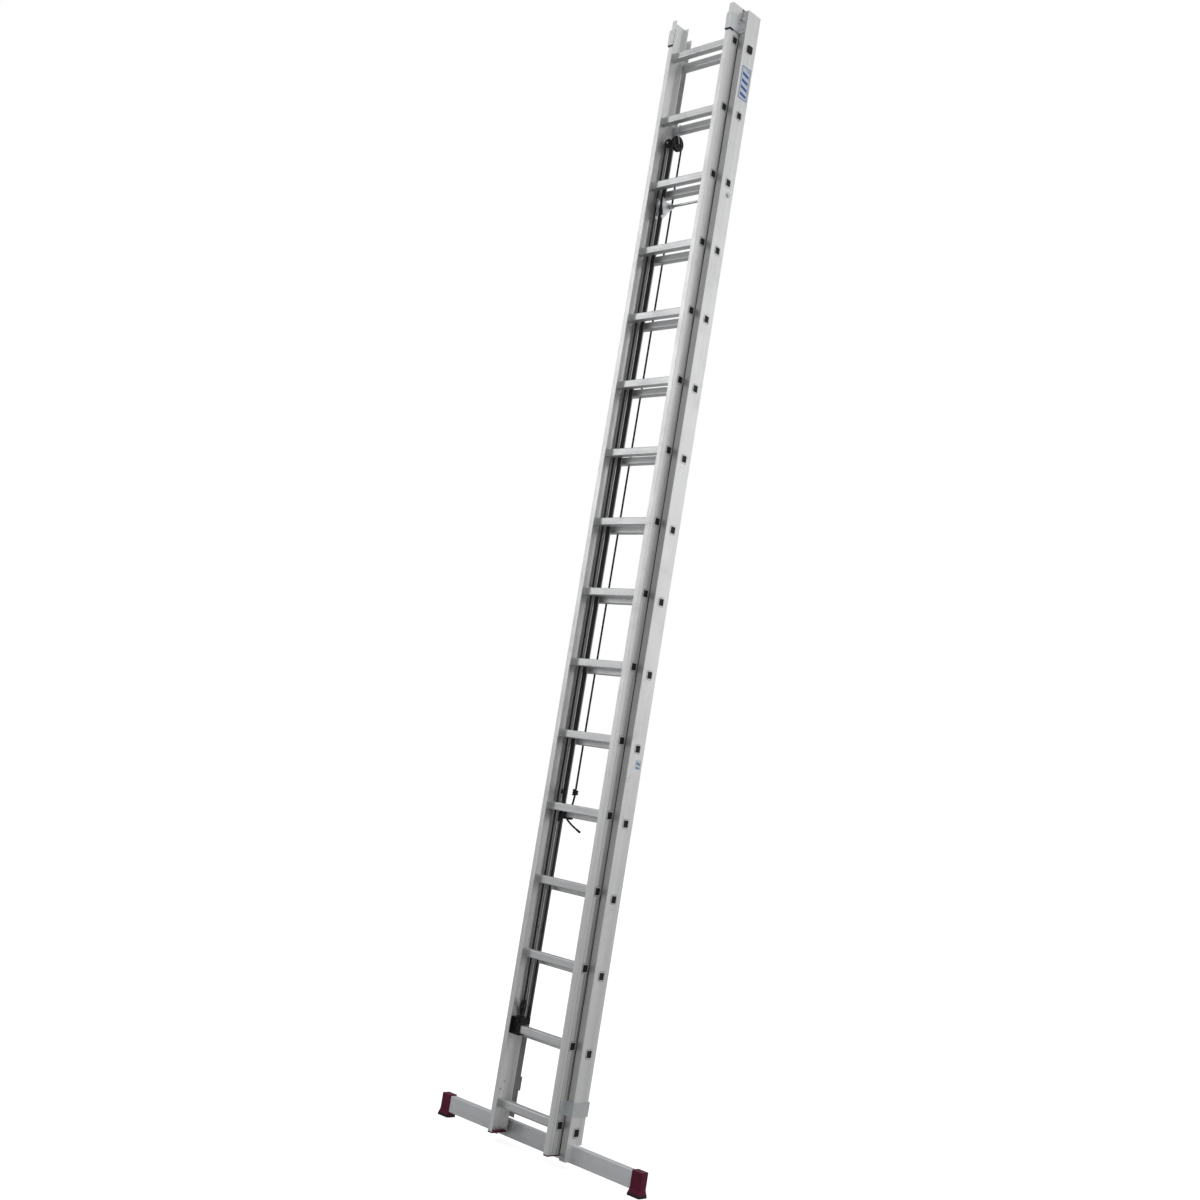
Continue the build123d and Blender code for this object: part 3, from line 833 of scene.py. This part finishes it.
def labelFilm(name, label):
    # pale film with a thin border and slanted bars, all placed from the label's own corners
    material, tree, shader = newMaterial(name)
    coords = addNode(tree, "ShaderNodeTexCoord")
    axes = addNode(tree, "ShaderNodeSeparateXYZ")
    tree.links.new(coords.outputs["Object"], axes.inputs["Vector"])
    wide = rescale(tree, axes.outputs["Y"], -1.0, 1.0, label["low"][0], label["high"][0])
    tall = rescale(tree, axes.outputs["Z"], -1.0, 1.0, label["low"][1], label["high"][1])
    acrossEdge = combine(tree, wide, 0.0, "ABSOLUTE")
    upEdge = combine(tree, tall, 0.0, "ABSOLUTE")
    outside = insideFrame(tree, acrossEdge, upEdge, labels["borderOutside"])
    inside = insideFrame(tree, acrossEdge, upEdge, labels["borderInside"])
    border = combine(tree, outside, inside, "SUBTRACT")
    slant = combine(tree, combine(tree, tall, label["bars"] * math.pi, "MULTIPLY"),
                    combine(tree, wide, labels["barSlant"], "MULTIPLY"))
    bars = combine(tree, combine(tree, slant, 0.0, "SINE"), labels["barGap"], "GREATER_THAN")
    field = insideFrame(tree, acrossEdge, upEdge, labels["barField"])
    printed = combine(tree, border, combine(tree, bars, field, "MULTIPLY"), "MAXIMUM")
    place = objectPlace(tree, (1.0, 1.0, 1.0))
    cloud = noise(tree, place, 60.0, 4.0, 0.6)
    film = ramp(tree, cloud, [(0.3, labels["aged"]), (0.7, labels["film"])])
    tree.links.new(blendColours(tree, printed, film, label["ink"]), shader.inputs["Base Color"])
    tree.links.new(rescale(tree, cloud, 0.28, 0.42), shader.inputs["Roughness"])
    addBump(tree, shader, noise(tree, place, 700.0, 3.0, 0.6), 0.00002)
    return material


def addLabel(name):
    label = labels[name]
    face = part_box("base_stile_right")[1][0]
    work = bmesh.new()
    wide = label["high"][0] - label["low"][0]
    tall = label["high"][1] - label["low"][1]
    verts = roundedPlate(work, wide, tall, 0.0025, labels["thick"])
    across, up = ((low + high) / 2 for low, high in zip(label["low"], label["high"]))
    place = (face, across, up)
    bmesh.ops.transform(work, matrix=facingSide(1, place), verts=verts)
    finishPiece(work, name, labelFilm(name + "Film", label), "base")


addLabel("topLabel")
addLabel("careLabel")
print("labels made")


# studio

studio = {
    "floor": (0.50, 0.50, 0.495),
    "floorReach": 30.0,
    "skyTop": (0.74, 0.75, 0.76),
    "skyMiddle": (0.47, 0.475, 0.48),
    "skyFoot": (0.56, 0.56, 0.56),
    "floorGlow": 0.80,
    "backdrop": (1.0, 1.0, 1.0),
    "leftShare": 0.55,
    "rightShare": 1.30,
}


def addFloor():
    work = bmesh.new()
    bmesh.ops.create_grid(work, x_segments=1, y_segments=1, size=studio["floorReach"])
    material, tree, shader = newMaterial("floorPaper")
    place = objectPlace(tree, (1.0, 1.0, 1.0))
    mottling = noise(tree, place, 3.0, 3.0, 0.5)
    low = tuple(c * 0.99 for c in studio["floor"])
    paper = ramp(tree, mottling, [(0.3, low), (0.7, studio["floor"])])
    tree.links.new(paper, shader.inputs["Base Color"])
    shader.inputs["Roughness"].default_value = 0.9
    shader.inputs["Emission Color"].default_value = (1.0, 1.0, 1.0, 1.0)
    rays = addNode(tree, "ShaderNodeLightPath")
    glow = combine(tree, rays.outputs["Is Camera Ray"], studio["floorGlow"], "MULTIPLY")
    tree.links.new(glow, shader.inputs["Emission Strength"])
    makePiece(work, "floor", material)


def addSky():
    world = bpy.data.worlds.new("studioSky")
    world.use_nodes = True
    tree = world.node_tree
    background = tree.nodes["Background"]
    coords = addNode(tree, "ShaderNodeTexCoord")
    axes = addNode(tree, "ShaderNodeSeparateXYZ")
    tree.links.new(coords.outputs["Generated"], axes.inputs["Vector"])
    height = rescale(tree, axes.outputs["Z"], 0.0, 1.0, -1.0, 1.0)
    stops = [(0.42, studio["skyFoot"]), (0.60, studio["skyMiddle"]), (0.95, studio["skyTop"])]
    tree.links.new(ramp(tree, height, stops), background.inputs["Color"])
    # the room is darker on the left, so the bright metal keeps its dark edges
    share = rescale(tree, axes.outputs["X"], studio["leftShare"], studio["rightShare"], -1.0, 1.0)
    tree.links.new(share, background.inputs["Strength"])
    backdrop = addNode(tree, "ShaderNodeBackground")
    backdrop.inputs["Color"].default_value = (*studio["backdrop"], 1.0)
    rays = addNode(tree, "ShaderNodeLightPath")
    choose = addNode(tree, "ShaderNodeMixShader")
    tree.links.new(rays.outputs["Is Camera Ray"], choose.inputs["Fac"])
    tree.links.new(background.outputs["Background"], choose.inputs[1])
    tree.links.new(backdrop.outputs["Background"], choose.inputs[2])
    tree.links.new(choose.outputs["Shader"], tree.nodes["World Output"].inputs["Surface"])
    bpy.context.scene.world = world


softboxes = {
    "frontLeft": {"place": (-4.5, -5.5, 4.5), "aim": (0, 0, 2.2), "size": (1.6, 6.0), "power": 75},
    "right": {"place": (6.5, -1.0, 4.0), "aim": (0, 0, 2.2), "size": (2.0, 5.0), "power": 20},
    "backRight": {"place": (5.5, 5.0, 4.0), "aim": (0, 0, 2.4), "size": (4.0, 5.0), "power": 40},
    "back": {"place": (-2.0, 6.0, 5.0), "aim": (0, 0, 2.2), "size": (3.0, 4.0), "power": 25},
    "above": {"place": (0.5, -1.0, 9.0), "aim": (0, 0, 2.0), "size": (4.0, 4.0), "power": 50},
}


def addSoftboxes():
    for name, box in softboxes.items():
        data = bpy.data.lights.new(name, "AREA")
        data.shape = "RECTANGLE"
        data.size, data.size_y = box["size"]
        data.energy = box["power"]
        light = bpy.data.objects.new(name, data)
        light.location = box["place"]
        aim = Vector(box["aim"]) - Vector(box["place"])
        light.rotation_euler = aim.to_track_quat("-Z", "Y").to_euler()
        bpy.context.scene.collection.objects.link(light)


addFloor()
addSky()
addSoftboxes()
bpy.context.scene.view_settings.view_transform = "Standard"
print("studio lit")
